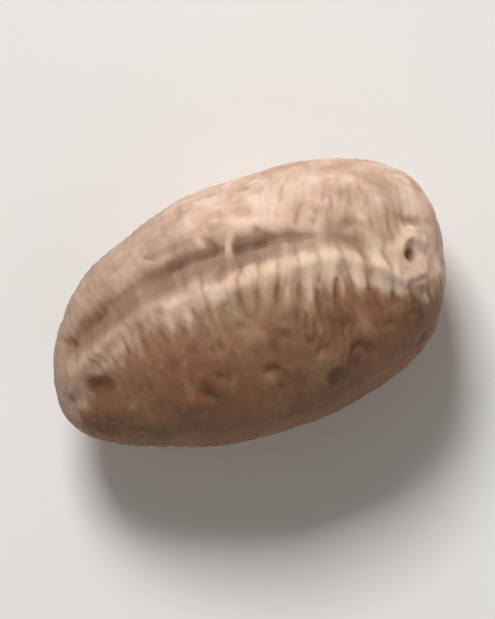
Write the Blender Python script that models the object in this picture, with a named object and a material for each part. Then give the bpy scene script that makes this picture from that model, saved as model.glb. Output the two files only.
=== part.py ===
"""A calabash nutmeg: one whole dried seed, lying on its side as it comes to rest.

The seed is an egg-shaped solid with its long axis on X, its pointed tip towards -X and its blunt end towards +X.
A seam runs lengthwise all round it, sunk between two raised lips, and passes through a small ring-shaped scar on
the shoulder of the blunt end. Low ribs cross the seam at right angles and fade out on the cheeks. The seed rests
on a small flat spot, and the origin is the bottom centre of its box. Lengths are in metres and angles in radians.
"""

from math import acos, asin, atan2, cos, exp, hypot, pi, radians, sin

import bmesh
import bpy
from mathutils import Matrix, Vector, noise

MM = 0.001
NAME = "calabash_nutmeg"
SEED_COLOUR = (0.42, 0.28, 0.19, 1.0)
SEED_ROUGHNESS = 0.7

# The egg shape
LENGTH = 20.15 * MM
TIP_SHARE = 0.565  # the part of the length that lies on the pointed side of the widest section
CHEEK_TO_CHEEK = 12.75 * MM  # across the seam's plane
SEAM_TO_SEAM = 11.45 * MM  # within the seam's plane
SECTION_ROLL = radians(32)  # from the top towards +Y
BLUNT_FULLNESS = 0.80  # an ellipse has 1, and less is fuller
BLUNT_START = -0.2  # as a station: -1 is the tip, 0 the widest section, 1 the blunt end
BLUNT_END = 0.8
TIP_SWAY = -0.8 * MM  # how far each end bends sideways, along Y
BLUNT_SWAY = 0.9 * MM
SWAY_POWER = 6  # the bend stays close to the ends
LUMP_HEIGHT = 0.16 * MM
LUMP_SPAN = 5.0 * MM

# The seam, whose roll is its angle from the top towards +Y
SEAM_ROLL = radians(40)
SEAM_FALL = radians(18)  # how fast the roll falls away towards the blunt end
SEAM_FALL_START = -0.6
SEAM_HOOK = radians(26)  # how much more it falls beside the scar
SEAM_HOOK_START = 0.35
SEAM_END_START = 0.75  # the seam grows shallow from here, towards both ends
SEAM_END_SHARE = 0.35  # what is left of its depth at the ends
GROOVE_DEPTH = 0.40 * MM
GROOVE_HALF_WIDTH = 0.38 * MM
LIP_HEIGHT = 0.20 * MM
LIP_OFFSET = 1.0 * MM
LIP_HALF_WIDTH = 0.60 * MM

# The ribs, which follow the seed's sections
RIB_COUNT = 23  # from end to end
RIB_EVENNESS = 0.25  # makes up for the longer way between sections at the seed's middle
RIB_HEIGHT = 0.11 * MM
RIB_FADE_START = 1.6 * MM  # from the seam's plane
RIB_FADE_END = 5.2 * MM
RIB_WORN_LEVEL = -5.9 * MM  # from the long axis: the ribs are worn away here, where the seed rests
RIB_WHOLE_LEVEL = -4.6 * MM
RIB_WAVINESS = 1.6
RIB_WAVE_SPAN = 2.6 * MM

# The scar
SCAR_STATION = 0.80
SCAR_RING_RADIUS = 0.85 * MM
SCAR_RING_HALF_WIDTH = 0.34 * MM
SCAR_RING_HEIGHT = 0.34 * MM
SCAR_PIT_DEPTH = 0.40 * MM
SCAR_CLEARANCE = 1.9  # in ring radii: how far off the seam and the ribs are whole again

# The flat spot
FLAT_DEPTH = 0.26 * MM  # how much of the round underside is missing

# The mesh, whose meridians cross the seam as the ribs do, and whose equator is the seam
MERIDIANS = 160
PARALLELS = 30
SEAM_CROWDING = 0.60  # how much closer the parallels lie at the seam
SIDE_CROWDING = 0.25  # how much closer the meridians lie along the seed's sides than at its ends
CUT_TOLERANCE = 0.0001 * MM
SHARP_ANGLE = radians(40)


def smooth_step(low, high, value):
    """Rise smoothly from 0 at low to 1 at high."""
    share = min(1.0, max(0.0, (value - low) / (high - low)))
    return share * share * (3.0 - 2.0 * share)


def bump(distance, half_width):
    """A rounded bump, 1 high at distance 0."""
    return exp(-((distance / half_width) ** 2))


def crowded(angle, amount):
    """Move an angle towards the nearest multiple of half a turn, or away from it for a negative amount."""
    return angle - amount * sin(2.0 * angle) / 2.0


def seam_angle(station):
    """Where the seam lies at a station, as an angle from +Y towards +Z."""
    fall = SEAM_FALL * max(0.0, station - SEAM_FALL_START) ** 1.5
    hook = SEAM_HOOK * smooth_step(SEAM_HOOK_START, 1.0, station)
    return pi / 2 - SEAM_ROLL + fall + hook


def smooth_point(station, around):
    """A point of the egg shape without its relief, and the outward direction there."""
    ring = (1.0 - station * station) ** 0.5
    fullness = 1.0 - (1.0 - BLUNT_FULLNESS) * smooth_step(BLUNT_START, BLUNT_END, station)
    half_length = LENGTH * (TIP_SHARE if station < 0.0 else 1.0 - TIP_SHARE)
    from_roll = around - (pi / 2 - SECTION_ROLL)
    section = hypot(cos(from_roll) / (SEAM_TO_SEAM / 2), sin(from_roll) / (CHEEK_TO_CHEEK / 2))
    radius = ring**fullness / section
    sway = (TIP_SWAY if station < 0.0 else BLUNT_SWAY) * abs(station) ** SWAY_POWER
    point = Vector((station * half_length, radius * cos(around) + sway, radius * sin(around)))
    outward = Vector((station / half_length, ring * cos(around) * section, ring * sin(around) * section))
    return point, outward.normalized()


def rib_height(point, station, from_plane):
    """The ribs' height, from the section and how far off the seam's plane a point lies."""
    along = crowded(acos(station), RIB_EVENNESS)
    wave = RIB_WAVINESS * noise.noise(point / RIB_WAVE_SPAN)
    fade = 1.0 - bump(from_plane, LIP_OFFSET)
    fade *= 1.0 - smooth_step(RIB_FADE_START, RIB_FADE_END, abs(from_plane))
    fade *= smooth_step(RIB_WORN_LEVEL, RIB_WHOLE_LEVEL, point.z)
    return RIB_HEIGHT * fade * cos(2.0 * RIB_COUNT * along + wave)


def seam_height(station, from_plane):
    """The groove between its two lips, by distance from the seam's plane."""
    groove = -GROOVE_DEPTH * bump(from_plane, GROOVE_HALF_WIDTH)
    lips = LIP_HEIGHT * bump(abs(from_plane) - LIP_OFFSET, LIP_HALF_WIDTH)
    strength = 1.0 - (1.0 - SEAM_END_SHARE) * smooth_step(SEAM_END_START, 1.0, abs(station))
    return strength * (groove + lips)


def scar_centre():
    """The scar's middle, on the upper run of the seam."""
    return smooth_point(SCAR_STATION, seam_angle(SCAR_STATION))[0]


def scar_height(distance):
    """The scar's raised ring and the pit inside it, by distance from its middle."""
    ring = SCAR_RING_HEIGHT * bump(distance - SCAR_RING_RADIUS, SCAR_RING_HALF_WIDTH)
    return ring - SCAR_PIT_DEPTH * bump(distance, SCAR_RING_RADIUS / 2)


def seed_point(direction, scar):
    """The point of the seed's surface for a point of a unit sphere whose poles, on Y, are the cheeks."""
    latitude = crowded(asin(max(-1.0, min(1.0, direction.y))), SEAM_CROWDING)
    turn = crowded(atan2(direction.z, direction.x), -SIDE_CROWDING)
    station = max(-1.0, min(1.0, cos(latitude) * cos(turn)))
    off_seam = atan2(sin(latitude), cos(latitude) * sin(turn))
    point, outward = smooth_point(station, seam_angle(station) - off_seam)
    from_plane = hypot(point.y, point.z) * sin(off_seam)
    from_scar = (point - scar).length
    off_scar = smooth_step(SCAR_CLEARANCE / 2, SCAR_CLEARANCE, from_scar / SCAR_RING_RADIUS)
    height = LUMP_HEIGHT * noise.noise(point / LUMP_SPAN)
    height += off_scar * (seam_height(station, from_plane) + rib_height(point, station, from_plane))
    height += scar_height(from_scar)
    return point + outward * height


def cut_flat_spot(mesh):
    """Cut the round underside off on a level plane and close the cut with flat faces."""
    lowest = min(vert.co.z for vert in mesh.verts)
    level = Vector((0.0, 0.0, lowest + FLAT_DEPTH))
    everything = mesh.verts[:] + mesh.edges[:] + mesh.faces[:]
    down = Vector((0.0, 0.0, -1.0))
    cut = bmesh.ops.bisect_plane(
        mesh, geom=everything, dist=CUT_TOLERANCE, plane_co=level, plane_no=down, clear_outer=True
    )
    rim = [item for item in cut["geom_cut"] if isinstance(item, bmesh.types.BMEdge)]
    bmesh.ops.edgeloop_fill(mesh, edges=rim)


def stand_on_origin(mesh):
    """Move the mesh so that the bottom centre of its box is the origin."""
    low = Vector(min(vert.co[axis] for vert in mesh.verts) for axis in range(3))
    high = Vector(max(vert.co[axis] for vert in mesh.verts) for axis in range(3))
    middle = (low + high) / 2
    bmesh.ops.translate(mesh, verts=mesh.verts, vec=Vector((-middle.x, -middle.y, -low.z)))


def seed_material():
    """The dry, dull seed coat."""
    material = bpy.data.materials.new("seed_coat")
    material.use_nodes = True
    shader = material.node_tree.nodes["Principled BSDF"]
    shader.inputs["Base Color"].default_value = SEED_COLOUR
    shader.inputs["Roughness"].default_value = SEED_ROUGHNESS
    shader.inputs["Metallic"].default_value = 0.0
    material.diffuse_color = SEED_COLOUR
    return material


def build_seed(collection):
    """Model the seed as one closed solid."""
    mesh = bmesh.new()
    poles_on_y = Matrix.Rotation(-pi / 2, 4, "X")
    bmesh.ops.create_uvsphere(mesh, u_segments=MERIDIANS, v_segments=PARALLELS, radius=1.0, matrix=poles_on_y)
    scar = scar_centre()
    for vert in mesh.verts:
        vert.co = seed_point(vert.co, scar)
    cut_flat_spot(mesh)
    stand_on_origin(mesh)
    bmesh.ops.recalc_face_normals(mesh, faces=mesh.faces)
    data = bpy.data.meshes.new(NAME)
    mesh.to_mesh(data)
    mesh.free()
    data.materials.append(seed_material())
    data.shade_smooth()
    data.set_sharp_from_angle(angle=SHARP_ANGLE)
    collection.objects.link(bpy.data.objects.new(NAME, data))


def main():
    """Clear the scene and build the seed in its own collection."""
    for thing in list(bpy.data.objects):
        bpy.data.objects.remove(thing, do_unlink=True)
    collection = bpy.data.collections.new("Calabash nutmeg")
    bpy.context.scene.collection.children.link(collection)
    build_seed(collection)


main()
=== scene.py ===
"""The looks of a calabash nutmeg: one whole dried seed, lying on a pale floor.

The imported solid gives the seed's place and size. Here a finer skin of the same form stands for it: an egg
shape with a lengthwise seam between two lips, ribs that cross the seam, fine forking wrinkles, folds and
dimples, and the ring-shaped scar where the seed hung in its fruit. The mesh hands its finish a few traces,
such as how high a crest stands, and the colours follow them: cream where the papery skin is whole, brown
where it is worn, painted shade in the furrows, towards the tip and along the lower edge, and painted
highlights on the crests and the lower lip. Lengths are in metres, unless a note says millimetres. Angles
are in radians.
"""

import logging
from dataclasses import dataclass, field
from enum import Enum
from itertools import pairwise, product
from math import cos, inf, pi, radians, sin

import bmesh
import bpy
import numpy as np
from mathutils import Matrix, Vector


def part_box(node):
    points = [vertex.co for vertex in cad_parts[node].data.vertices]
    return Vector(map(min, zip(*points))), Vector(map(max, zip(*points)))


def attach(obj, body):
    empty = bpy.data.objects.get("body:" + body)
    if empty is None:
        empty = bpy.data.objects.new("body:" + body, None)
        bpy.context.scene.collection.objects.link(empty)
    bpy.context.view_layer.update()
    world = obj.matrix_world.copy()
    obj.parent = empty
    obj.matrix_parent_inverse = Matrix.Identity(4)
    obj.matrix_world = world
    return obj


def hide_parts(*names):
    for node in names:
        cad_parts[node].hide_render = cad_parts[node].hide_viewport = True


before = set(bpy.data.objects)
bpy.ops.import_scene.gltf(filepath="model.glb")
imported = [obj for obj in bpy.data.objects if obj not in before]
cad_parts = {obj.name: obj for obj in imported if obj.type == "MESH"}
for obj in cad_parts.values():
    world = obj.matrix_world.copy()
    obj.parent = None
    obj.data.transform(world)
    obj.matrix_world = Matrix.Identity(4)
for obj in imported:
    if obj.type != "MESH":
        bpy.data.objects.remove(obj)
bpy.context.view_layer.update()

log = logging.getLogger("calabash_nutmeg")

MM = 0.001
NODE = "calabash_nutmeg"
SEED_NAME = "nutmeg_seed"

Array = np.ndarray
Pair = tuple[float, float]
Table = tuple[Pair, ...]

CELL_PRIMES = np.array([73856093, 19349663, 83492791])
LAYER_PRIME = 668265263
HASH_PRIME = 1274126177

MIX_SHARE = 0  # a Mix node's sockets for colours, which share their names with those for numbers
MIX_FIRST = 6
MIX_SECOND = 7
MIX_RESULT = 2


class Trace(Enum):
    """What the mesh tells the finish about each of its points, as a named attribute."""

    # how high a crest stands; the finish paints highlights on crests and shade between them
    CREST = "crest"
    # how deep a point lies; the finish darkens hollows as painted shade
    HOLLOW = "hollow"
    CREAM = "cream"
    # painted highlight along the lower lip
    LIP = "lip"
    # mostly painted shade towards the tip, partly the tip's own grey-tan
    TIP = "tip"
    SCAR = "scar"
    # olive-brown spots, mostly the seed's own tone, some painted shade
    OLIVE = "olive"
    RUST = "rust"
    # the seed's own grey, with a painted grey sheen at the lower left
    ASH_AND_SHEEN = "ash_and_sheen"
    # dark spots and a darker lower edge, partly painted shade
    DUSK = "dusk"
    # mostly painted highlights, with the skin's own paler patches underneath
    PALE = "pale"
    PATCH = "patch"
    BLOTCH = "blotch"
    # painted highlight: the crests of the cream skin drawn lighter
    PAINTED_CREAM_HIGHLIGHT = "sheen_and_rubbing"


class Grain(Enum):
    """The coat's fine patterns, each with its size in millimetres along X and round the seed."""

    CLOUD = (2.6, 2.6)
    MOTTLE = (0.8, 1.1)
    STREAK = (0.40, 1.4)
    RIPPLE = (0.62, 2.2)


def linear(code: str) -> tuple[float, float, float, float]:
    """Turn an sRGB colour into linear light.

    Args:
        code: Six hexadecimal digits.

    Returns:
        Red, green, blue and an alpha of 1.
    """
    channels = [int(code[start : start + 2], 16) / 255 for start in (0, 2, 4)]
    light = [c / 12.92 if c <= 0.04045 else ((c + 0.055) / 1.055) ** 2.4 for c in channels]
    return (light[0], light[1], light[2], 1.0)


def add_node(
    tree: bpy.types.NodeTree, kind: str, inputs: dict | None = None, **settings: object
) -> bpy.types.Node:
    """Add a node with its settings and links.

    Args:
        tree: The material's node tree.
        kind: The node's type name.
        inputs: For each socket, by name or number, the socket it is linked from or the value it holds.
        settings: The node's own properties.

    Returns:
        The new node.
    """
    node = tree.nodes.new(kind)
    for name, value in settings.items():
        setattr(node, name, value)
    for key, source in (inputs or {}).items():
        if isinstance(source, bpy.types.NodeSocket):
            tree.links.new(source, node.inputs[key])
        else:
            node.inputs[key].default_value = source
    return node


def add_object(name: str, data: bpy.types.ID) -> bpy.types.Object:
    """Add an object that holds the data to the scene.

    Args:
        name: The object's name.
        data: Its mesh, light or camera.

    Returns:
        The new object.
    """
    thing = bpy.data.objects.new(name, data)
    bpy.context.scene.collection.objects.link(thing)
    return thing


def smooth_step(low: float, high: float, value: Array) -> Array:
    """Rise smoothly from 0 at low to 1 at high."""
    share = np.clip((value - low) / (high - low), 0.0, 1.0)
    return share * share * (3.0 - 2.0 * share)


def bump(distance: Array, half_width: float | Array) -> Array:
    """Give a rounded bump, 1 high at distance 0."""
    return np.exp(-((distance / half_width) ** 2))


def crowded(angle: Array, amount: float) -> Array:
    """Move angles towards the nearest multiple of half a turn, or away from it for a negative amount."""
    return angle - amount * np.sin(2.0 * angle) / 2.0


def swell(points: Array, span: float, layer: int) -> Array:
    """Give smooth gradient noise, about -1 to 1, at each point.

    Args:
        points: One point a row.
        span: The size of the noise's swells.
        layer: Each layer has a pattern of its own.

    Returns:
        One value a point.
    """
    places = points / span
    cells = np.floor(places).astype(np.int64)
    inside = places - cells
    eased = inside**3 * (inside * (6.0 * inside - 15.0) + 10.0)
    total = np.zeros(len(points))
    for corner in product((0, 1), repeat=3):
        stirred = (cells + corner) @ CELL_PRIMES + layer * LAYER_PRIME
        stirred = (stirred ^ (stirred >> 15)) * HASH_PRIME
        stirred ^= stirred >> 13
        turn = (stirred & 0xFFFF) * (2.0 * pi / 0x10000)
        rise = ((stirred >> 16) & 0xFFFF) / 0x8000 - 1.0
        level = np.sqrt(1.0 - rise**2)
        slope = np.stack([level * np.cos(turn), level * np.sin(turn), rise], axis=1)
        weight = np.prod(np.where(corner, eased, 1.0 - eased), axis=1)
        total += weight * np.sum(slope * (inside - corner), axis=1)
    return 1.5 * total


@dataclass(frozen=True)
class Noise:
    """Smooth noise that makes a quantity uneven from place to place. Each layer has a pattern of its own."""

    span: float
    layer: int
    amount: float = 1.0
    middle: float = 0.0
    limits: Pair = (-inf, inf)

    def at(self, points: Array) -> Array:
        """Give the uneven quantity at each point."""
        return np.clip(self.middle + self.amount * swell(points, self.span, self.layer), *self.limits)

    def shifted(self, points: Array) -> Array:
        """Shift each point by the amount, with a layer of its own for each axis."""
        shifts = [swell(points, self.span, self.layer + axis) for axis in range(3)]
        return points + self.amount * np.stack(shifts, axis=1)


@dataclass(frozen=True)
class Ramp:
    """A quantity that changes smoothly along a line, and is level before its first place and past its last.

    Each place is a distance in millimetres, with the quantity there.
    """

    places: Table

    def at(self, line: Array) -> Array:
        """Read the ramp.

        Args:
            line: Distances along the line.

        Returns:
            The quantity at each.
        """
        value = np.full(len(line), self.places[0][1])
        for (start, before), (end, after) in pairwise(self.places):
            value += (after - before) * smooth_step(start * MM, end * MM, line)
        return value


@dataclass(frozen=True)
class Ground:
    """The bare egg shape that the relief stands on, with one entry a point."""

    points: Array
    outward: Array  # the outward directions
    evenness: Array  # how much surface each point stands for
    from_plane: Array  # the distance from the seam, positive towards the upper cheek
    on_top: Array  # 1 on the upper side, 0 underneath

    def fading(self, underneath: float) -> Array:
        """Give 1 on the upper side and a share of it underneath."""
        return underneath + (1.0 - underneath) * self.on_top


def nearest_on_top(points: Array, x: float, y: float) -> int:
    """Find the point of the upper side nearest to an X and Y in millimetres."""
    plan = np.hypot(points[:, 0] - x * MM, points[:, 1] - y * MM)
    return int(np.argmin(np.where(points[:, 2] > 0.0, plan, np.inf)))


@dataclass(frozen=True)
class Fold:
    """A short raised or sunken fold on the upper side, between two places given by X and Y.

    All its sizes are in millimetres.
    """

    start: Pair
    end: Pair
    height: float
    half_width: float
    end_share: float = 0.35  # of its height

    def relief(self, ground: Ground) -> Array:
        """Model the fold, tapered towards its ends.

        Args:
            ground: The bare shape.

        Returns:
            The fold's height at each point.
        """
        start, end = np.array(self.start) * MM, np.array(self.end) * MM
        run = end - start
        offset = ground.points[:, :2] - start
        share = np.clip(offset @ run / (run @ run), 0.0, 1.0)
        distance = np.linalg.norm(offset - share[:, None] * run, axis=1)
        taper = self.end_share + (1.0 - self.end_share) * np.sin(pi * share)
        return self.height * MM * taper * bump(distance, self.half_width * MM) * ground.on_top


@dataclass(frozen=True)
class Spot:
    """A round place on the upper side, by its X, Y and radius in millimetres."""

    x: float
    y: float
    radius: float
    strength: float

    def share(self, points: Array) -> Array:
        """Give the spot's strength, full at its middle and fading past its radius, at each point."""
        middle = points[nearest_on_top(points, self.x, self.y)]
        return self.strength * bump(np.linalg.norm(points - middle, axis=1), self.radius * MM)


@dataclass(frozen=True)
class Stain:
    """A colour that lies in ragged spots on the upper side, and in patches at random underneath."""

    layer: int
    underneath: float  # how strong the patches are
    spots: tuple[Spot, ...]
    shift: float = 0.5 * MM
    shift_span: float = 1.2 * MM
    patch_span: float = 3.6 * MM
    patch_edge: Pair = (0.15, 0.6)
    most: float = 2.0

    def share(self, ground: Ground, where: float | Array = 1.0) -> Array:
        """Say how stained the seed is.

        Args:
            ground: The bare shape.
            where: How much of the patches underneath each point takes.

        Returns:
            The stain at each point, 1 for a full one.
        """
        ragged = Noise(self.shift_span, self.layer, self.shift).shifted(ground.points)
        shown = np.sum([spot.share(ragged) for spot in self.spots], axis=0)
        patches = smooth_step(*self.patch_edge, swell(ground.points, self.patch_span, self.layer))
        hidden = self.underneath * (1.0 - ground.on_top) * where
        return np.clip(shown + hidden * patches, 0.0, self.most)


@dataclass(frozen=True)
class Wrinkling:
    """A set of wrinkles that run round the seed.

    It is built up from small patches of even waves, and the wrinkles fork or end where neighbours disagree.
    """

    patch_radius: float
    patch_count: int
    stray: float  # how much the waves' direction differs from patch to patch
    disorder: float  # how far out of step a patch may be with those before it, as an angle of phase
    roundness: float  # 0 has sharp creases, which the mesh can't follow at a fine pitch
    mean: float  # the profile's own, which is taken off so that the seed keeps its size
    reach: float = 2.2  # how far a patch is worked out, in radii
    held_radius: float = 0.5  # of a patch that holds a crest in its place, beside the others
    held_weight: float = 6.0
    sure_at: float = 1.2  # the waves' sum from which they count as even

    def phases(
        self, ground: Ground, pitch: Array, slant: Array, crests: list[int], seed: int
    ) -> tuple[Array, Array]:
        """Lay the patches, first those that hold a crest in its place.

        Args:
            ground: The bare shape.
            pitch: The distance from crest to crest wanted at each point.
            slant: How far the waves' direction is turned from the seed's long axis at each point.
            crests: The numbers of points that a crest must pass through.
            seed: The random seed.

        Returns:
            Each point's phase, 0 on a crest, and how sure it is, from 0 where wrinkles fork to 1 where they
            are even.
        """
        dice = np.random.default_rng(seed)
        order = np.argsort(ground.points[:, 0])
        held = np.argsort(order)[crests] if crests else np.array([], dtype=int)
        points, outward = ground.points[order], ground.outward[order]
        pitch, slant = pitch[order], slant[order]
        free = dice.choice(len(points), self.patch_count, p=ground.evenness[order] / ground.evenness.sum())
        picks = np.concatenate([held, free])
        turns = slant[picks] + self.stray * dice.standard_normal(len(picks))
        leads = self.disorder * dice.standard_normal(len(picks))
        waves = np.zeros(len(points), dtype=complex)
        for number, (pick, turn, lead) in enumerate(zip(picks, turns, leads)):
            is_held = number < len(held)
            radius = self.patch_radius * (self.held_radius if is_held else 1.0)
            reach = self.reach * radius
            centre, normal = points[pick], outward[pick]
            along = np.array([1.0, 0.0, 0.0]) - normal[0] * normal
            along /= np.linalg.norm(along) + 1e-9  # at the very ends it has no length
            heading = cos(turn) * along - sin(turn) * np.cross(normal, along)
            first, last = np.searchsorted(points[:, 0], (centre[0] - reach, centre[0] + reach))
            offset = points[first:last] - centre
            weight = (self.held_weight if is_held else 1.0) * np.exp(-np.sum(offset**2, axis=1) / radius**2)
            start = 0.0 if is_held else lead + np.angle(waves[pick])
            phase = start + (2.0 * pi / pitch[pick]) * (offset @ heading)
            waves[first:last] += weight * np.exp(1j * phase)
        unsorted = np.empty_like(waves)
        unsorted[order] = waves
        return np.angle(unsorted), smooth_step(0.0, self.sure_at, np.abs(unsorted))

    def profile(self, phase: Array) -> Array:
        """Give the height at each phase, rounded on the crests and pinched between them."""
        return np.sqrt(np.cos(phase / 2) ** 2 + self.roundness) - self.mean


@dataclass
class Seed:
    """The seed's skin: its form, its relief, and the traces its finish reads.

    A station is a place along the seed: -1 at the tip, 0 at the widest section, 1 at the blunt end. The upper
    cheek is the one towards +Y and the lower cheek the one towards -Y. A ramp "along" runs by X, one "across"
    by the distance from the seam, and one for the "ends" by how far off X = 0 a point lies.
    """

    low: Vector
    high: Vector

    # The egg shape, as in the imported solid
    tip_share: float = 0.565
    breadth_allowance: float = 1.025
    seam_to_cheek: float = 11.45 / 12.75
    section_roll: float = radians(32)
    blunt_fullness: float = 0.80
    blunt_stations: Pair = (-0.2, 0.8)  # between them the shape fills out
    tip_sway: float = -0.8 * MM
    blunt_sway: float = 0.9 * MM
    sway_power: int = 6
    lumps: tuple[Noise, ...] = (
        Noise(5.0 * MM, 0, 0.16 * MM), Noise(1.9 * MM, 1, 0.07 * MM), Noise(0.9 * MM, 17, 0.045 * MM),
    )
    flat_depth: float = 0.26 * MM
    flat_softness: float = 0.12 * MM
    upper_side: Ramp = Ramp(((-1.5, 0.0), (1.5, 1.0)))  # by height above the long axis

    # The seam's path
    seam_roll: float = radians(40)
    seam_fall_start: float = -0.6
    seam_fall_power: float = 1.5
    seam_fall: float = radians(18)
    seam_hook: float = radians(26)
    seam_hook_stations: Pair = (0.35, 1.0)
    seam_wander: tuple[Noise, ...] = (Noise(2.2 * MM, 12, 0.15 * MM), Noise(0.8 * MM, 13, 0.075 * MM))

    # The groove's depth along the upper side, as X and depth in millimetres, and underneath
    groove_course: Table = (
        (-9.4, 0.00), (-8.6, 0.24), (-7.9, 0.20), (-7.1, 0.36), (-6.2, 0.18), (-4.6, 0.20), (-3.7, 0.28),
        (-2.9, 0.42), (-1.7, 0.32), (-0.6, 0.38), (-0.05, 0.30), (0.10, 0.04), (0.38, 0.05), (0.62, 0.62),
        (1.6, 0.60), (2.5, 0.36), (3.6, 0.28), (4.6, 0.12), (5.0, 0.08), (5.6, 0.17), (6.3, 0.10),
        (7.3, 0.03),
    )
    groove_underneath: float = 0.30
    groove_ends: Ramp = Ramp(((7.6, 1.0), (9.3, 0.0)))
    groove_half_width: float = 0.34 * MM
    groove_roundness: float = 1.6  # 2 is a round valley, 1 a sharp crack
    groove_depth_noise: Noise = Noise(0.9 * MM, 2, 0.35, middle=1.0)
    groove_width_noise: Noise = Noise(1.1 * MM, 3, 0.3)
    slit_x: float = 1.4 * MM
    slit_half_length: float = 0.95 * MM
    slit_widening: float = 0.35
    bridge_slant: float = 0.30

    # The lips, and the sloping valley between the groove and the lower one
    valley_place: float = 0.42  # as a share of the way to the lower lip
    valley_half_width: Ramp = Ramp(((-2.0, 0.816 * MM), (1.5, 0.48 * MM)))
    valley_depth: float = 0.19 * MM
    valley_along: Ramp = Ramp(((-9.3, 0.0), (-7.6, 1.0), (2.0, 1.0), (5.0, 0.4)))
    valley_underneath: float = 0.4
    valley_noise: Noise = Noise(1.4 * MM, 15, 0.5, middle=1.0)
    lower_lip_course: Table = (  # X and the distance from the seam, in millimetres
        (-9.0, 1.60), (-4.5, 1.75), (-2.5, 2.05), (-0.5, 2.15), (1.5, 2.00), (2.8, 1.70), (4.2, 1.35),
        (6.0, 1.20),
    )
    upper_lip_offset: float = 0.85 * MM
    lip_half_width: float = 0.50 * MM
    lower_lip_height: float = 0.28 * MM
    upper_lip_height: float = 0.12 * MM
    lip_ends: Ramp = Ramp(((8.4, 1.0), (9.9, 0.0)))
    lips_underneath: float = 0.6
    lip_noise: Noise = Noise(1.2 * MM, 4, 0.55, middle=1.0)

    # The ribs. Where the seam bends down, they lean to stay square to it
    rib_pitch: float = 0.95 * MM
    rib_height: float = 0.165 * MM
    rib_slant: Ramp = Ramp(((-3.0, 0.0), (3.5, radians(22)), (4.0, radians(22)), (5.8, radians(8))))
    rib_places: Table = (  # X and Y, in millimetres, of places with a crest
        (-3.7, 1.3), (-2.75, 1.2), (-1.3, 1.4), (-0.4, 1.4), (1.0, -0.1), (1.9, -0.4), (2.95, -0.5),
        (4.55, 0.4), (5.5, -0.6), (6.6, -0.3), (5.0, 4.0), (6.2, 3.7), (4.1, 4.4),
    )
    ribs: Wrinkling = Wrinkling(1.4 * MM, 1000, radians(6), 0.5, roundness=0.01, mean=0.64)
    rib_pitch_noise: Noise = Noise(2.5 * MM, 18, 0.15, middle=1.0)
    rib_noise: Noise = Noise(2.4 * MM, 5, 0.7, middle=0.9, limits=(0.25, 1.5))
    rib_ends: Ramp = Ramp(((8.6, 1.0), (10.2, 0.0)))
    rib_by_seam: Ramp = Ramp(((0.15, 0.25), (0.75, 1.0)))
    lower_ribs_across: Ramp = Ramp(((-5.0, 0.0), (-2.2, 1.0)))
    lower_ribs_along: Ramp = Ramp(((-5.0, 0.45), (1.0, 1.10), (7.0, 1.10), (8.6, 0.55)))
    upper_ribs_across: Ramp = Ramp(((1.8, 1.0), (5.0, 0.0)))
    upper_ribs_along: Ramp = Ramp(((1.5, 0.25), (4.0, 0.70), (6.8, 0.70), (8.4, 0.21)))
    rib_loss_on_lip: float = 0.4
    rib_loss_half_width: float = 0.8 * MM
    rib_loss_past_bars: float = 0.85
    bars_along: Ramp = Ramp(((4.4, 0.0), (5.4, 1.0)))
    past_bars: Ramp = Ramp(((-2.8, 1.0), (-1.7, 0.0)))
    ribs_by_fold: Ramp = Ramp(((0.02, 1.0), (0.10, 0.2)))  # by the fold's own height

    # The fine wrinkles
    wrinkle_pitch: float = 0.46 * MM
    wrinkle_height: float = 0.075 * MM
    wrinkles: Wrinkling = Wrinkling(0.6 * MM, 5000, radians(14), 0.8, roundness=0.25, mean=0.85)
    wrinkle_pitch_noise: Noise = Noise(3.0 * MM, 6, 0.25, middle=1.0)
    wrinkle_noise: Noise = Noise(1.6 * MM, 7, 0.9, middle=0.75, limits=(0.10, 1.5))
    wrinkle_ends: Ramp = Ramp(((8.0, 1.0), (9.9, 0.3)))
    wrinkles_across: Ramp = Ramp(((-3.6, 0.85), (-2.4, 1.0)))

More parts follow.
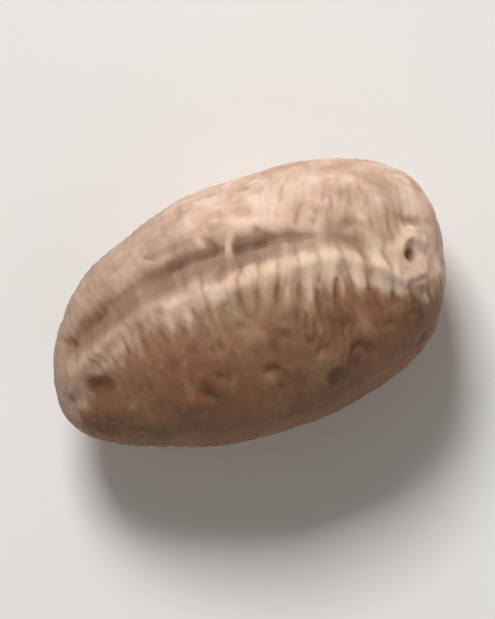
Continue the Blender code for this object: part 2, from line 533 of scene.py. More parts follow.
    # The folds, of which the first two are the bars beside the scar, and the dimples, whose strength is their
    # depth in millimetres
    folds: tuple[Fold, ...] = (
        Fold((5.65, 0.3), (5.35, -1.5), 0.24, 0.33), Fold((6.75, 1.0), (6.50, -1.8), 0.28, 0.38),
        Fold((6.10, 0.5), (5.95, -1.2), -0.12, 0.22), Fold((5.05, 0.3), (4.85, -1.1), -0.10, 0.22),
        Fold((-1.5, 2.75), (-0.2, 2.75), -0.12, 0.35), Fold((6.55, 4.3), (5.95, 2.7), -0.06, 0.15),
        Fold((7.35, 3.7), (6.75, 2.6), -0.06, 0.15), Fold((5.35, 4.7), (5.05, 3.4), -0.05, 0.13),
        Fold((7.25, 0.5), (7.10, -1.2), -0.10, 0.24), Fold((4.85, 1.1), (4.35, -0.3), 0.10, 0.20),
        Fold((3.2, 0.3), (2.7, -1.9), 0.07, 0.20), Fold((2.1, 0.2), (1.7, -1.0), 0.06, 0.20),
        Fold((3.5, 0.1), (3.9, -1.1), -0.08, 0.25), Fold((4.1, -1.6), (4.4, -3.9), -0.10, 0.22),
        Fold((4.9, -1.6), (5.0, -3.4), 0.08, 0.20), Fold((8.3, 1.60), (9.5, 0.70), -0.19, 0.32),
        Fold((8.7, 3.0), (9.2, 2.6), -0.12, 0.26), Fold((-0.9, 4.95), (-1.4, 4.6), 0.07, 0.30),
        Fold((0.9, 5.2), (1.2, 4.7), 0.07, 0.28), Fold((1.1, 3.95), (1.8, 3.7), 0.07, 0.24),
        Fold((-1.4, 3.8), (-1.0, 3.75), 0.08, 0.22), Fold((2.4, 4.7), (3.3, 3.9), -0.05, 0.22),
        Fold((-3.0, 2.65), (-2.3, 2.75), 0.09, 0.28), Fold((-5.2, 2.45), (-4.6, 2.5), 0.06, 0.25),
        Fold((5.3, 2.0), (6.7, 2.2), -0.20, 0.30), Fold((-0.75, 4.25), (-0.35, 3.2), -0.20, 0.22),
        Fold((-3.9, 4.3), (-3.2, 3.9), -0.16, 0.20), Fold((-3.4, 4.05), (-1.0, 4.05), -0.14, 0.32),
        Fold((-2.7, 5.1), (-2.3, 4.7), -0.12, 0.18), Fold((-8.9, 1.9), (-8.3, 1.4), -0.14, 0.20),
        Fold((-9.4, 0.2), (-7.0, 0.9), 0.06, 0.45),
    )
    dimples: tuple[Spot, ...] = (
        Spot(-8.0, -0.9, 0.44, 0.14), Spot(-3.3, -3.1, 0.34, 0.14), Spot(-1.9, -1.3, 0.24, 0.10),
        Spot(-2.3, -2.6, 0.28, 0.12), Spot(1.0, -1.8, 0.30, 0.08), Spot(2.4, -2.6, 0.26, 0.08),
        Spot(-0.1, -3.2, 0.30, 0.18), Spot(6.0, -3.2, 0.26, 0.12), Spot(4.3, -3.7, 0.34, 0.18),
        Spot(3.1, -4.7, 0.40, 0.14),
    )
    dimple_edge: Noise = Noise(0.45 * MM, 8, 0.10 * MM)
    spare_dimples: int = 110
    spare_dimple_radii: Pair = (0.12 * MM, 0.34 * MM)
    spare_dimple_depth: float = 0.4  # in radii
    spare_dimples_across: Ramp = Ramp(((1.2, 0.1), (3.5, 1.1)))

    # The scar
    scar_station: float = 0.80
    scar_clearance: Pair = (0.9, 1.9)  # in ring radii, where other relief starts and is whole
    scar_ring_radius: float = 0.82 * MM
    scar_ring_half_width: float = 0.32 * MM
    scar_ring_height: float = 0.30 * MM
    scar_ring_waves: tuple[tuple[int, float, float], ...] = (  # count, height as a share, and first bearing
        (2, 0.22, 1.4), (3, 0.14, 0.3236),
    )
    scar_noise: Noise = Noise(0.8 * MM, 11, 0.30, middle=1.0)
    scar_moat_radius: float = 1.45 * MM
    scar_moat_half_width: float = 0.26 * MM
    scar_moat_depth: float = 0.04 * MM
    scar_notch: float = 0.75
    scar_notch_bearing: float = radians(-30)
    scar_notch_sharpness: float = 2.5
    scar_pit_depth: float = 0.26 * MM
    scar_pit_half_width: float = 0.30 * MM
    scar_trail_depth: float = 0.14 * MM
    scar_trail_half_width: float = 0.36 * MM

    # How the relief reads as colour, with painted shade in the hollows and painted highlights on the crests
    crest_unit: float = 0.10 * MM
    wrinkle_crests: float = 0.8
    hollow_unit: float = 0.25 * MM
    valley_shade: float = 1.1
    cream_across: Ramp = Ramp(((-1.9, 0.0), (0.3, 1.0)))  # by the distance from the lower lip
    cream_edge: Noise = Noise(1.6 * MM, 14, 0.5 * MM)
    cream_on_crests: float = 0.35 * MM  # how much farther the cream skin reaches
    cream_tongue: float = 0.25 * MM
    cream_tongue_x: float = 3.2 * MM
    cream_tongue_half_width: float = 1.8 * MM
    wear: float = 0.7
    wear_noise: Noise = Noise(3.2 * MM, 16)
    wear_edge: Pair = (0.2, 0.7)
    # painted highlight along the crest of the lower lip
    lip_highlight_along: Ramp = Ramp(((-5.0, 0.0), (3.5, 1.0), (5.0, 1.0), (6.8, 0.0)))
    lip_highlight_half_width: float = 0.6 * MM
    # painted shade towards the tip and over the upper left, where that end lay in shadow; partly the tip's
    # own grey-tan
    tip_shade_along: Ramp = Ramp(((-9.0, 1.0), (-3.5, 0.6), (-2.8, 0.6), (0.8, 0.0)))
    tip_shade_across: Ramp = Ramp(((-3.2, 0.0), (-1.2, 1.0)))
    scar_colour_radius: float = 0.85 * MM
    scar_colour_half_width: float = 0.45 * MM
    # painted shade: the lower cheek darker towards its edge, less so underneath
    bottom_shade_across: Ramp = Ramp(((-5.4, 0.22), (-3.8, 0.0)))
    bottom_shade_underneath: float = 0.4
    patch_noises: tuple[Noise, ...] = (Noise(2.2 * MM, 19), Noise(0.9 * MM, 24, 0.5))
    patch_strength: float = 0.35
    patch_strength_hidden: float = 0.65
    patches_across: Ramp = Ramp(((-4.5, 0.25), (-3.0, 0.0)))
    blotch_noises: tuple[Noise, ...] = (Noise(1.4 * MM, 21), Noise(0.6 * MM, 23, 0.6))

    # olive-brown spots: mostly the seed's own tone; the spot above the bridge and the one above and left of
    # the scar are painted shade
    olive: Stain = Stain(20, 0.6, (
        Spot(-1.2, 0.2, 1.3, 0.7), Spot(0.5, 0.0, 1.3, 0.8), Spot(2.2, -0.1, 1.1, 0.6),
        Spot(0.0, 3.8, 0.9, 0.8), Spot(5.8, 1.9, 1.4, 1.2), Spot(7.7, 1.2, 0.8, 1.0),
        Spot(8.4, 2.5, 1.2, 0.9), Spot(6.5, 3.6, 0.9, 0.6), Spot(7.85, -0.4, 0.7, 0.9),
        Spot(6.1, 0.4, 0.6, 0.6),
    ))
    rust: Stain = Stain(30, 1.0, (
        Spot(-4.0, -1.6, 1.5, 0.8), Spot(-3.0, -2.8, 1.6, 0.9), Spot(5.4, -2.0, 1.5, 0.9),
    ))
    # grey spots and patches: the seed's own grey at the tip and round the dark spot near the bottom, with a
    # painted grey sheen over the lower left of the belly
    ash_and_sheen: Stain = Stain(40, 0.8, (
        Spot(3.1, -4.6, 1.3, 1.0), Spot(-9.6, 0.2, 1.0, 0.6), Spot(-5.0, -4.6, 2.2, 0.5),
    ))
    # dark spots and patches: some are the seed's own dark specks, such as the round one near the tip; those
    # in the dimples, along the lower left edge and at the bottom are painted shade
    dusk: Stain = Stain(50, 0.45, (
        Spot(0.6, -3.6, 1.1, 0.3), Spot(7.4, -3.0, 1.5, 0.6), Spot(4.3, -3.8, 0.5, 0.9),
        Spot(-7.95, -0.9, 0.64, 1.7), Spot(-9.3, -0.9, 0.9, 0.45), Spot(-6.9, -3.9, 1.3, 0.5),
        Spot(-8.5, -2.6, 1.1, 0.7), Spot(-3.3, -3.1, 0.5, 0.8), Spot(-3.0, -0.9, 0.5, 0.5),
        Spot(1.0, -1.8, 0.5, 0.6), Spot(2.4, -2.5, 0.4, 0.6), Spot(4.3, -2.2, 0.5, 0.7),
        Spot(2.9, -4.6, 0.5, 1.0),
    ))
    # pale spots: mostly painted highlights on lit bumps of the upper cheek, the lower lip, the valley and the
    # bar beside the scar; underneath, the skin's own paler patches
    pale: Stain = Stain(60, 0.4, (
        Spot(0.2, 5.0, 1.0, 0.6), Spot(2.8, 4.5, 1.3, 0.9), Spot(4.8, 4.7, 1.1, 1.0),
        Spot(4.1, 1.0, 0.9, 1.2), Spot(1.7, 1.5, 0.7, 0.8), Spot(6.6, -0.7, 0.8, 1.2),
        Spot(-1.1, 5.0, 0.7, 0.7), Spot(-4.1, 2.4, 0.6, 0.6), Spot(2.0, 2.0, 0.6, 0.6),
        Spot(-2.7, 2.5, 0.3, 0.8),
    ))
    light: Stain = Stain(70, 0.0, (
        Spot(1.9, -4.2, 1.1, 0.9), Spot(-0.2, -3.6, 0.5, 0.9), Spot(4.9, -2.6, 0.6, 0.7),
        Spot(-1.8, -2.9, 0.4, 0.7), Spot(-2.6, -1.1, 0.4, 0.7), Spot(-3.9, -2.7, 0.45, 0.7),
        Spot(8.1, -2.5, 0.5, 0.8), Spot(-1.6, -1.2, 0.35, 0.7), Spot(-0.4, -4.8, 0.9, 0.5),
    ))

    # The mesh, whose equator is the seam
    meridians: int = 560
    parallels: int = 176
    seam_crowding: float = 0.35
    side_crowding: float = 0.25
    random_seed: int = 11

    traces: dict[Trace, Array] = field(default_factory=dict)

    def seam_angle(self, station: Array) -> Array:
        """Say where the seam lies.

        Args:
            station: The stations asked for.

        Returns:
            The seam's angle at each, from +Y towards +Z.
        """
        past = np.maximum(0.0, station - self.seam_fall_start)
        hook = self.seam_hook * smooth_step(*self.seam_hook_stations, station)
        return pi / 2 - self.seam_roll + self.seam_fall * past**self.seam_fall_power + hook

    def smooth_points(self, station: Array, around: Array) -> tuple[Array, Array]:
        """Place points on the egg shape without its relief.

        Args:
            station: The points' stations.
            around: Their angles round the long axis, from +Y towards +Z.

        Returns:
            The points, and the outward directions there.
        """
        length = self.high.x - self.low.x
        cheek_to_cheek = self.breadth_allowance * (self.high.y - self.low.y)
        seam_to_seam = cheek_to_cheek * self.seam_to_cheek
        ring = np.sqrt(np.maximum(0.0, 1.0 - station**2))
        fullness = 1.0 - (1.0 - self.blunt_fullness) * smooth_step(*self.blunt_stations, station)
        half_length = length * np.where(station < 0.0, self.tip_share, 1.0 - self.tip_share)
        from_roll = around - (pi / 2 - self.section_roll)
        section = np.hypot(np.cos(from_roll) / (seam_to_seam / 2), np.sin(from_roll) / (cheek_to_cheek / 2))
        radius = ring**fullness / section
        sway = np.where(station < 0.0, self.tip_sway, self.blunt_sway) * np.abs(station) ** self.sway_power
        centre = (self.tip_share - 0.5) * length
        points = np.stack(
            [station * half_length + centre, radius * np.cos(around) + sway, radius * np.sin(around)], axis=1
        )
        outward = np.stack(
            [station / half_length, ring * np.cos(around) * section, ring * np.sin(around) * section], axis=1
        )
        return points, outward / np.linalg.norm(outward, axis=1, keepdims=True)

    def ground(self, directions: Array) -> Ground:
        """Move the points of a unit sphere, whose poles are the cheeks, onto the bare egg shape.

        Args:
            directions: The sphere's points, one a row.

        Returns:
            The bare shape, about its long axis.
        """
        evenness = np.sqrt(np.maximum(0.0, 1.0 - directions[:, 1] ** 2)) + 0.01  # never quite 0 at a pole
        latitude = crowded(np.arcsin(np.clip(directions[:, 1], -1.0, 1.0)), self.seam_crowding)
        turn = crowded(np.arctan2(directions[:, 2], directions[:, 0]), -self.side_crowding)
        station = np.clip(np.cos(latitude) * np.cos(turn), -1.0, 1.0)
        off_seam = np.arctan2(np.sin(latitude), np.cos(latitude) * np.sin(turn))
        points, outward = self.smooth_points(station, self.seam_angle(station) - off_seam)
        from_plane = np.hypot(points[:, 1], points[:, 2]) * np.sin(off_seam)
        from_plane += np.sum([noise.at(points) for noise in self.seam_wander], axis=0)
        return Ground(points, outward, evenness, from_plane, self.upper_side.at(points[:, 2]))

    def groove_relief(self, ground: Ground) -> Array:
        """Model the groove, with its slit and bridge.

        Args:
            ground: The bare shape.

        Returns:
            The height at each point.
        """
        x = ground.points[:, 0]
        course = np.array(self.groove_course)
        upper = np.interp((x - self.bridge_slant * ground.from_plane) / MM, course[:, 0], course[:, 1])
        lower = self.groove_ends.at(np.abs(x)) * self.groove_underneath
        depth = MM * (ground.on_top * upper + (1.0 - ground.on_top) * lower)
        depth *= self.groove_depth_noise.at(ground.points)
        slit = self.slit_widening * ground.on_top * bump(x - self.slit_x, self.slit_half_length)
        half_width = self.groove_half_width * (1.0 + slit + self.groove_width_noise.at(ground.points))
        return -depth * np.exp(-np.abs(ground.from_plane / half_width) ** self.groove_roundness)

    def lower_lip_place(self, x: Array) -> Array:
        """Say how far off the seam the lower lip lies, which comes closer towards the blunt end."""
        course = np.array(self.lower_lip_course) * MM
        return np.interp(x, course[:, 0], course[:, 1])

    def lip_relief(self, ground: Ground) -> Array:
        """Model the two uneven lips beside the groove.

        Args:
            ground: The bare shape.

        Returns:
            The height at each point.
        """
        x = ground.points[:, 0]
        from_lower = ground.from_plane + self.lower_lip_place(x)
        lower = self.lower_lip_height * bump(from_lower, self.lip_half_width)
        upper = self.upper_lip_height * bump(ground.from_plane - self.upper_lip_offset, self.lip_half_width)
        strength = self.lip_ends.at(np.abs(x)) * ground.fading(self.lips_underneath)
        return self.lip_noise.at(ground.points) * strength * (lower + upper)

    def valley_relief(self, ground: Ground) -> Array:
        """Model the valley that slopes from the lower lip into the groove.

        Args:
            ground: The bare shape.

        Returns:
            The height at each point.
        """
        x = ground.points[:, 0]
        strength = self.valley_along.at(x) * ground.fading(self.valley_underneath)
        from_valley = ground.from_plane + self.valley_place * self.lower_lip_place(x)
        dip = bump(from_valley, self.valley_half_width.at(x))
        return -self.valley_depth * self.valley_noise.at(ground.points) * strength * dip

    def rib_relief(self, ground: Ground) -> Array:
        """Model the ribs, rounded on top and pinched between, which fade out on the cheeks.

        Args:
            ground: The bare shape.

        Returns:
            The height at each point.
        """
        x, from_plane = ground.points[:, 0], ground.from_plane
        pitch = self.rib_pitch * self.rib_pitch_noise.at(ground.points)
        crests = [nearest_on_top(ground.points, *place) for place in self.rib_places]
        phase, sure = self.ribs.phases(ground, pitch, self.rib_slant.at(x), crests, self.random_seed)
        lower = self.lower_ribs_across.at(from_plane) * self.lower_ribs_along.at(x)
        on_lip = bump(from_plane + self.lower_lip_place(x), self.rib_loss_half_width)
        lower *= 1.0 - self.rib_loss_on_lip * on_lip
        lower *= 1.0 - self.rib_loss_past_bars * self.bars_along.at(x) * self.past_bars.at(from_plane)
        upper = self.upper_ribs_across.at(from_plane) * self.upper_ribs_along.at(x)
        strength = np.where(from_plane < 0.0, lower, upper)
        strength *= self.rib_by_seam.at(np.abs(from_plane)) * self.rib_ends.at(np.abs(x))
        strength *= self.rib_noise.at(ground.points)
        return self.rib_height * strength * sure * self.ribs.profile(phase)

    def wrinkle_relief(self, ground: Ground) -> Array:
        """Model the fine wrinkles, which lie the way of the ribs but fork and stray more.

        Args:
            ground: The bare shape.

        Returns:
            The height at each point.
        """
        x = ground.points[:, 0]
        pitch = self.wrinkle_pitch * self.wrinkle_pitch_noise.at(ground.points)
        phase, sure = self.wrinkles.phases(ground, pitch, self.rib_slant.at(x), [], self.random_seed + 1)
        strength = self.wrinkle_noise.at(ground.points) * self.wrinkle_ends.at(np.abs(x))
        strength *= self.wrinkles_across.at(ground.from_plane)
        return self.wrinkle_height * strength * sure * self.wrinkles.profile(phase)

    def dimple_relief(self, ground: Ground) -> Array:
        """Press in the dimples, and small ones at random, more on the cheeks than by the seam.

        Args:
            ground: The bare shape.

        Returns:
            The height at each point.
        """
        dice = np.random.default_rng(self.random_seed + 2)
        ragged = self.dimple_edge.shifted(ground.points)
        height = -MM * np.sum([dimple.share(ragged) for dimple in self.dimples], axis=0)
        likely = ground.evenness * self.spare_dimples_across.at(np.abs(ground.from_plane))
        picks = dice.choice(len(ragged), self.spare_dimples, replace=False, p=likely / likely.sum())
        small, large = self.spare_dimple_radii
        for centre, size in zip(ground.points[picks], dice.random(self.spare_dimples) ** 2):
            radius = small + (large - small) * size
            height -= self.spare_dimple_depth * radius * bump(np.linalg.norm(ragged - centre, axis=1), radius)
        return height

    def scar_opening(self, offset: Array) -> Array:
        """Say how open the scar's ring is, from 0 to 1, by the bearing from its middle."""
        bearing = np.arctan2(offset[:, 1], offset[:, 0]) - self.scar_notch_bearing
        return np.exp(self.scar_notch_sharpness * (np.cos(bearing) - 1.0))

    def scar_relief(self, ground: Ground, offset: Array) -> Array:
        """Model the scar's uneven ring, the moat round it, and the pit inside it, which trails into a notch.

        Args:
            ground: The bare shape.
            offset: The way from the scar's middle to each point.

        Returns:
            The height at each point.
        """
        distance = np.linalg.norm(offset, axis=1) * self.scar_noise.at(ground.points)
        bearing = np.arctan2(offset[:, 1], offset[:, 0])
        opening = self.scar_opening(offset)
        waves = [height * np.cos(count * (bearing - first)) for count, height, first in self.scar_ring_waves]
        uneven = 1.0 + np.sum(waves, axis=0) - self.scar_notch * opening
        ring = bump(distance - self.scar_ring_radius, self.scar_ring_half_width)
        moat = self.scar_moat_depth * bump(distance - self.scar_moat_radius, self.scar_moat_half_width)
        pit = self.scar_pit_depth * bump(distance, self.scar_pit_half_width)
        notch = np.array([cos(self.scar_notch_bearing), sin(self.scar_notch_bearing), 0.0])
        along = np.clip(offset @ notch, 0.0, self.scar_ring_radius)
        from_trail = np.linalg.norm(offset - along[:, None] * notch, axis=1)
        trail = self.scar_trail_depth * bump(from_trail, self.scar_trail_half_width)
        return self.scar_ring_height * uneven * ring - moat * (1.0 - opening) - pit - trail

    def note_traces(self, ground: Ground, crest: Array, hollow: Array, from_scar: Array) -> None:
        """Note what the finish reads.

        Args:
            ground: The bare shape.
            crest: How high a crest each point is on, 1 for a high one.
            hollow: How deep each point lies, 1 for a groove of middling depth.
            from_scar: The way from the scar's middle to each point.
        """
        points, from_plane, on_top = ground.points, ground.from_plane, ground.on_top
        x, hidden = points[:, 0], 1.0 - on_top
        from_lip = from_plane + self.lower_lip_place(x)
        edge = self.cream_edge.at(points) + self.cream_on_crests * crest
        edge += self.cream_tongue * bump(x - self.cream_tongue_x, self.cream_tongue_half_width) * on_top
        worn = hidden * smooth_step(*self.wear_edge, self.wear_noise.at(points))
        cream = self.cream_across.at(from_lip + edge) * (1.0 - self.wear * worn)
        off_ring = np.linalg.norm(from_scar, axis=1) - self.scar_colour_radius
        on_scar = bump(off_ring, self.scar_colour_half_width) * (1.0 - self.scar_opening(from_scar))
        patchy = self.patch_strength + self.patch_strength_hidden * hidden
        patchy += self.patches_across.at(from_plane) * on_top
        patches = np.sum([noise.at(points) for noise in self.patch_noises], axis=0)
        blotches = np.sum([noise.at(points) for noise in self.blotch_noises], axis=0)
        # painted shade: darker towards the lower edge, less so underneath
        dusk = self.bottom_shade_across.at(from_plane) * ground.fading(self.bottom_shade_underneath)
        self.traces = {
            Trace.CREST: crest,
            Trace.HOLLOW: hollow,
            Trace.CREAM: cream,
            # painted highlight on the crests of the cream skin
            Trace.PAINTED_CREAM_HIGHLIGHT: crest * cream,
            # painted highlight along the lower lip
            Trace.LIP: bump(from_lip, self.lip_highlight_half_width) * self.lip_highlight_along.at(x) * on_top,
            # mostly painted shade towards the tip, partly the tip's own grey-tan
            Trace.TIP: self.tip_shade_along.at(x) * self.tip_shade_across.at(from_plane),
            Trace.SCAR: on_scar,
            Trace.OLIVE: self.olive.share(ground),
            Trace.RUST: self.rust.share(ground),
            Trace.ASH_AND_SHEEN: self.ash_and_sheen.share(ground),
            Trace.DUSK: self.dusk.share(ground, 1.0 - cream) + dusk,
            Trace.PALE: self.pale.share(ground, cream),
            Trace.PATCH: patches * patchy + self.light.share(ground),
            Trace.BLOTCH: blotches * cream,
        }

    def relieved(self, directions: Array) -> Array:
        """Move the points of a unit sphere onto the seed with its relief, and note its traces.

        Args:
            directions: The sphere's points, one a row.

        Returns:
            The seed's points, about its long axis.
        """
        ground = self.ground(directions)
        scar_at = np.array([self.scar_station])
        from_scar = ground.points - self.smooth_points(scar_at, self.seam_angle(scar_at))[0][0]
        clear, whole = (share * self.scar_ring_radius for share in self.scar_clearance)
        off_scar = smooth_step(clear, whole, np.linalg.norm(from_scar, axis=1))

        folds = np.sum([fold.relief(ground) for fold in self.folds], axis=0)
        ribs = self.rib_relief(ground) * self.ribs_by_fold.at(np.abs(folds))
        wrinkles = self.wrinkle_relief(ground)
        groove = self.groove_relief(ground)
        lips = self.lip_relief(ground)
        valley = self.valley_relief(ground)
        dimples = self.dimple_relief(ground)
        scar = self.scar_relief(ground, from_scar)
        height = off_scar * (ribs + groove + valley + lips + dimples + folds) + wrinkles + scar
        height += np.sum([lump.at(ground.points) for lump in self.lumps], axis=0)

        crest = (ribs + self.wrinkle_crests * wrinkles + np.maximum(folds, 0.0)) / self.crest_unit
        sunken = groove + self.valley_shade * valley + dimples + np.minimum(folds, 0.0)
        hollow = (-sunken * off_scar - np.minimum(scar, 0.0)) / self.hollow_unit
        self.note_traces(ground, crest, hollow, from_scar)
        return ground.points + ground.outward * height[:, None]

    def seated(self, points: Array) -> Array:
        """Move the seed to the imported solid's place, and flatten the spot it rests on.

        Args:
            points: The seed's points, about its long axis.

        Returns:
            The points in the frame.
        """
        low, high = points.min(axis=0), points.max(axis=0)
        middle = (low + high) / 2
        moved = points - np.array([middle[0], middle[1], low[2] + self.flat_depth])
        level = (moved[:, 2] + np.hypot(moved[:, 2], self.flat_softness)) / 2
        moved[:, 2] = level - level.min()
        return moved

    def build(self) -> bpy.types.Object:
        """Model the skin as one closed mesh with its traces.

        Returns:
            The seed's object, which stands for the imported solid.
        """
        shell = bmesh.new()
        poles_on_y = Matrix.Rotation(-pi / 2, 4, "X")
        bmesh.ops.create_uvsphere(
            shell, u_segments=self.meridians, v_segments=self.parallels, radius=1.0, matrix=poles_on_y
        )
        mesh = bpy.data.meshes.new(SEED_NAME)
        shell.to_mesh(mesh)
        shell.free()
        directions = np.empty(len(mesh.vertices) * 3)
        mesh.vertices.foreach_get("co", directions)
        points = self.seated(self.relieved(directions.reshape(-1, 3)))
        mesh.vertices.foreach_set("co", points.ravel())
        for trace, values in self.traces.items():
            layer = mesh.attributes.new(trace.value, "FLOAT", "POINT")
            layer.data.foreach_set("value", values)
        mesh.shade_smooth()
        mesh.update()
        return add_object(SEED_NAME, mesh)


@dataclass(frozen=True)
class Tint:
    """A colour laid over the coat as a trace goes from one value to another, with an edge that a grain frays.

    The raggedness is how far the grain moves the edge, in the trace's units.
    """

    colour: str
    trace: Trace
    none_at: float
    full_at: float
    strength: float
    raggedness: float
    grain: Grain = Grain.MOTTLE


@dataclass(frozen=True)
class SeedCoat:
    """Dry seed coat: a hard, papery skin, dull all over, with a slight satin where rubbing has polished it.
    """

    brown: str = "8f6549"
    tints: tuple[Tint, ...] = (
        # olive-brown spots, mostly the seed's own tone, some painted shade
        Tint("8a6b4b", Trace.OLIVE, 0.2, 0.9, 0.9, 0.8),
        Tint("88563b", Trace.RUST, 0.2, 0.9, 0.75, 0.8),
        # the seed's own grey, with a painted grey sheen at the lower left
        Tint("75685a", Trace.ASH_AND_SHEEN, 0.3, 1.0, 0.55, 0.6),
        Tint("a57e60", Trace.PATCH, 0.0, 0.7, 0.6, 0.8, Grain.RIPPLE),
        Tint("6e4a37", Trace.PATCH, 0.0, -0.7, 0.6, -0.8, Grain.RIPPLE),
        # painted highlight: lighter on the crests of the ribs, wrinkles and raised folds
        Tint("b8926f", Trace.CREST, -0.2, 1.2, 0.6, 0.8),
        Tint("d0ab93", Trace.CREAM, 0.1, 1.0, 1.0, 0.35, Grain.STREAK),
        Tint("e4c1ab", Trace.CREAM, 0.5, 1.3, 0.8, 1.2, Grain.CLOUD),
        Tint("bd967c", Trace.BLOTCH, -0.05, -0.6, 0.6, -0.4),
        Tint("f2d8c6", Trace.BLOTCH, 0.05, 0.6, 0.6, 0.4),
        # mostly painted shade towards the tip and upper left, partly the tip's own grey-tan
        Tint("987864", Trace.TIP, 0.0, 1.0, 0.75, 0.5),
        # mostly painted highlights, with the skin's own paler patches underneath
        Tint("f0d3ba", Trace.PALE, 0.25, 1.0, 0.55, 0.5),
        # dark stain, partly painted shade: the seed's own dark specks, with painted shade in dimples, at the
        # lower left edge and along the bottom
        Tint("6e4a34", Trace.DUSK, 0.2, 0.9, 0.85, 0.8),
        Tint("4a3018", Trace.DUSK, 1.0, 1.8, 0.8, 0.3),
        Tint("a38464", Trace.OLIVE, 0.1, 1.1, 0.72, 0.5),
        # painted highlight along the lower lip
        Tint("e9c8a9", Trace.LIP, 0.2, 0.9, 0.5, 0.8),
        # painted shade: darker between the crests
        Tint("6a4732", Trace.CREST, 0.0, -1.1, 0.55, 0.5),
        # painted highlight on the crests of the cream skin
        Tint("eed0b3", Trace.PAINTED_CREAM_HIGHLIGHT, 0.1, 1.2, 0.45, 0.6),
        Tint("e0bfa2", Trace.SCAR, 0.3, 0.8, 0.7, 0.4),
        # painted shade: darker in the groove, the valley, sunken folds, the dimples and the scar's pit
        Tint("8a6650", Trace.HOLLOW, 0.10, 1.0, 0.8, 0.3),
        Tint("553828", Trace.HOLLOW, 0.9, 2.4, 0.65, 0.3),
    )
    grain_detail: float = 3.0
    grain_distortion: float = 0.3
    tissue_size: float = 0.10 * MM  # the skin's own fibres, drawn about twice as coarse as they are
    tissue_depth: float = 0.03 * MM
    tissue_strength: float = 0.6
    streak_depth: float = 0.05 * MM
    streak_strength: float = 0.8
    rubbing: Pair = (-0.2, 0.2)  # the grain, from the most rubbed places to the dullest
    roughness: Pair = (0.55, 0.75)
    refraction: float = 1.48
    specular_level: float = 0.35

    def build(self) -> bpy.types.Material:
        """Make the material.

        Returns:
            The finish, which reads the seed's traces and its own place.
        """
        material = bpy.data.materials.new("dry_seed_coat")
        material.use_nodes = True
        tree = material.node_tree
        tree.nodes.clear()
        place = add_node(tree, "ShaderNodeTexCoord").outputs["Object"]
        traces = {
            trace: add_node(tree, "ShaderNodeAttribute", attribute_name=trace.value).outputs["Fac"]
            for trace in Trace
        }
        grains = {}
        for grain in Grain:
            along, across = (1.0 / (size * MM) for size in grain.value)
            scaled = add_node(tree, "ShaderNodeMapping", {"Vector": place, "Scale": (along, across, across)})
            inputs = {
                "Vector": scaled.outputs["Vector"],
                "Scale": 1.0,
                "Detail": self.grain_detail,
                "Distortion": self.grain_distortion,
            }
            noise = add_node(tree, "ShaderNodeTexNoise", inputs)
            inputs = {0: noise.outputs["Fac"], 1: 0.5}
            centred = add_node(tree, "ShaderNodeMath", inputs, operation="SUBTRACT")
            grains[grain] = centred.outputs["Value"]

        colour = linear(self.brown)
        for tint in self.tints:
            inputs = {0: grains[tint.grain], 1: 2.0 * tint.raggedness, 2: traces[tint.trace]}
            ragged = add_node(tree, "ShaderNodeMath", inputs, operation="MULTIPLY_ADD")
            inputs = {
                "Value": ragged.outputs["Value"],
                "From Min": tint.none_at,
                "From Max": tint.full_at,
                "To Max": tint.strength,
            }
            share = add_node(tree, "ShaderNodeMapRange", inputs, interpolation_type="SMOOTHSTEP")
            inputs = {MIX_SHARE: share.outputs["Result"], MIX_FIRST: colour, MIX_SECOND: linear(tint.colour)}
            colour = add_node(tree, "ShaderNodeMix", inputs, data_type="RGBA").outputs[MIX_RESULT]

        inputs = {"Vector": place, "Scale": 1.0 / self.tissue_size, "Detail": self.grain_detail}
        tissue = add_node(tree, "ShaderNodeTexNoise", inputs)
        inputs = {
            "Height": grains[Grain.STREAK],
            "Strength": self.streak_strength,
            "Distance": self.streak_depth,
        }
        streaks = add_node(tree, "ShaderNodeBump", inputs)
        inputs = {
            "Height": tissue.outputs["Fac"],
            "Strength": self.tissue_strength,
            "Distance": self.tissue_depth,
            "Normal": streaks.outputs["Normal"],
        }
        relief = add_node(tree, "ShaderNodeBump", inputs)
        inputs = {
            "Value": grains[Grain.MOTTLE],
            "From Min": self.rubbing[0],
            "From Max": self.rubbing[1],
            "To Min": self.roughness[0],
            "To Max": self.roughness[1],
        }
        sheen_and_rubbing = add_node(tree, "ShaderNodeMapRange", inputs)
        inputs = {
            "Base Color": colour,
            "Roughness": sheen_and_rubbing.outputs["Result"],
            "Normal": relief.outputs["Normal"],
            "IOR": self.refraction,
            "Specular IOR Level": self.specular_level,
        }
        shader = add_node(tree, "ShaderNodeBsdfPrincipled", inputs)
        add_node(tree, "ShaderNodeOutputMaterial", {"Surface": shader.outputs["BSDF"]})
        return material


@dataclass(frozen=True)
class FloorPaint:
    """Matt off-white paint, which gives a quiet, pale ground."""

    colour: str = "f1efec"
    roughness: float = 0.85

    def build(self) -> bpy.types.Material:
        """Make the material.

        Returns:
            The floor's finish.
        """
        material = bpy.data.materials.new("matt_floor_paint")
        material.use_nodes = True
        tree = material.node_tree
        tree.nodes.clear()
        inputs = {"Base Color": linear(self.colour), "Roughness": self.roughness}
        shader = add_node(tree, "ShaderNodeBsdfPrincipled", inputs)
        add_node(tree, "ShaderNodeOutputMaterial", {"Surface": shader.outputs["BSDF"]})
        return material


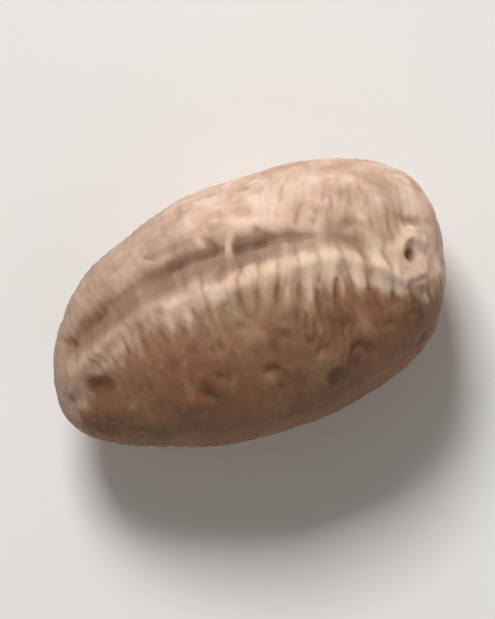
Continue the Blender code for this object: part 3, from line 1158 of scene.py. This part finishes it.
@dataclass
class Studio:
    """The floor, the lights and the camera, which looks straight down."""

    low: Vector
    high: Vector
    lean: float = radians(21.5)  # how far the seed's long axis rises to the right in the picture
    picture: tuple[int, int] = (495, 619)
    seed_share: float = 0.80  # of the picture's width
    seed_picture_width: float = 19.1 * MM
    camera_height: float = 0.45
    camera_sensor: float = 36.0  # in millimetres, as Blender has it
    camera_near: float = 0.01
    floor_side: float = 0.8
    key_bearing: float = radians(108)  # in the picture, from its right towards its top
    key_elevation: float = radians(50)
    key_distance: float = 0.5
    key_side: float = 0.16
    key_power: float = 2.1  # in watts
    fill_bearing: float = radians(-50)
    fill_elevation: float = radians(50)
    fill_side: float = 0.32
    fill_power: float = 0.12
    world_colour: str = "faf6f0"
    world_strength: float = 0.22

    def toward(self, bearing: float, elevation: float) -> Vector:
        """Give the direction that has a bearing in the picture and an elevation above the floor."""
        turned = bearing - self.lean
        return Vector((cos(turned) * cos(elevation), sin(turned) * cos(elevation), sin(elevation)))

    def build_floor(self) -> bpy.types.Object:
        """Lay the floor under the seed.

        Returns:
            The floor's object.
        """
        plane = bmesh.new()
        bmesh.ops.create_grid(plane, x_segments=1, y_segments=1, size=self.floor_side / 2)
        mesh = bpy.data.meshes.new("floor")
        plane.to_mesh(mesh)
        plane.free()
        mesh.materials.append(FloorPaint().build())
        floor = add_object("floor", mesh)
        return floor

    def add_light(self, name: str, bearing: float, elevation: float, side: float, power: float) -> None:
        """Hang a square soft light that faces the seed.

        Args:
            name: The light's name.
            bearing: Where it hangs, as a bearing in the picture.
            elevation: How high it hangs above the floor, as an angle.
            side: The length of its side.
            power: Its power, in watts.
        """
        data = bpy.data.lights.new(name, "AREA")
        data.size = side
        data.energy = power
        light = add_object(name, data)
        direction = self.toward(bearing, elevation)
        light.location = direction * self.key_distance
        light.rotation_euler = direction.to_track_quat("Z", "Y").to_euler()

    def build_lights(self) -> None:
        """Hang the key and fill lights and set the soft surrounding light."""
        self.add_light("key", self.key_bearing, self.key_elevation, self.key_side, self.key_power)
        self.add_light("fill", self.fill_bearing, self.fill_elevation, self.fill_side, self.fill_power)
        world = bpy.data.worlds.new("soft_room")
        world.use_nodes = True
        background = world.node_tree.nodes["Background"]
        background.inputs["Color"].default_value = linear(self.world_colour)
        background.inputs["Strength"].default_value = self.world_strength
        bpy.context.scene.world = world

    def build_camera(self) -> None:
        """Stand the camera above the seed, turned so that the seed leans as it should."""
        data = bpy.data.cameras.new("camera")
        data.sensor_width = self.camera_sensor
        field_width = self.seed_picture_width / self.seed_share
        field_height = field_width * self.picture[1] / self.picture[0]
        seed_height = (self.low.z + self.high.z) / 2
        data.lens = data.sensor_width * (self.camera_height - seed_height) / field_height
        data.clip_start = self.camera_near
        camera = add_object("camera", data)
        camera.location = ((self.low.x + self.high.x) / 2, (self.low.y + self.high.y) / 2, self.camera_height)
        camera.rotation_euler = (0.0, 0.0, -self.lean)
        bpy.context.scene.camera = camera

    def build(self) -> None:
        """Set up the whole studio."""
        self.build_floor()
        self.build_lights()
        self.build_camera()
        bpy.context.scene.view_settings.view_transform = "Standard"


def main() -> None:
    """Build the seed and the studio, and log the seed's counts of points and faces."""
    logging.basicConfig(level=logging.INFO, format="%(message)s")
    low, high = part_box(NODE)
    seed = Seed(low, high).build()
    seed.data.materials.append(SeedCoat().build())
    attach(seed, "root")
    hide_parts(NODE)
    log.info("seed: %d points, %d faces", len(seed.data.vertices), len(seed.data.polygons))
    Studio(low, high).build()
    log.info("studio: floor, lights and camera")


if __name__ == "__main__":
    main()
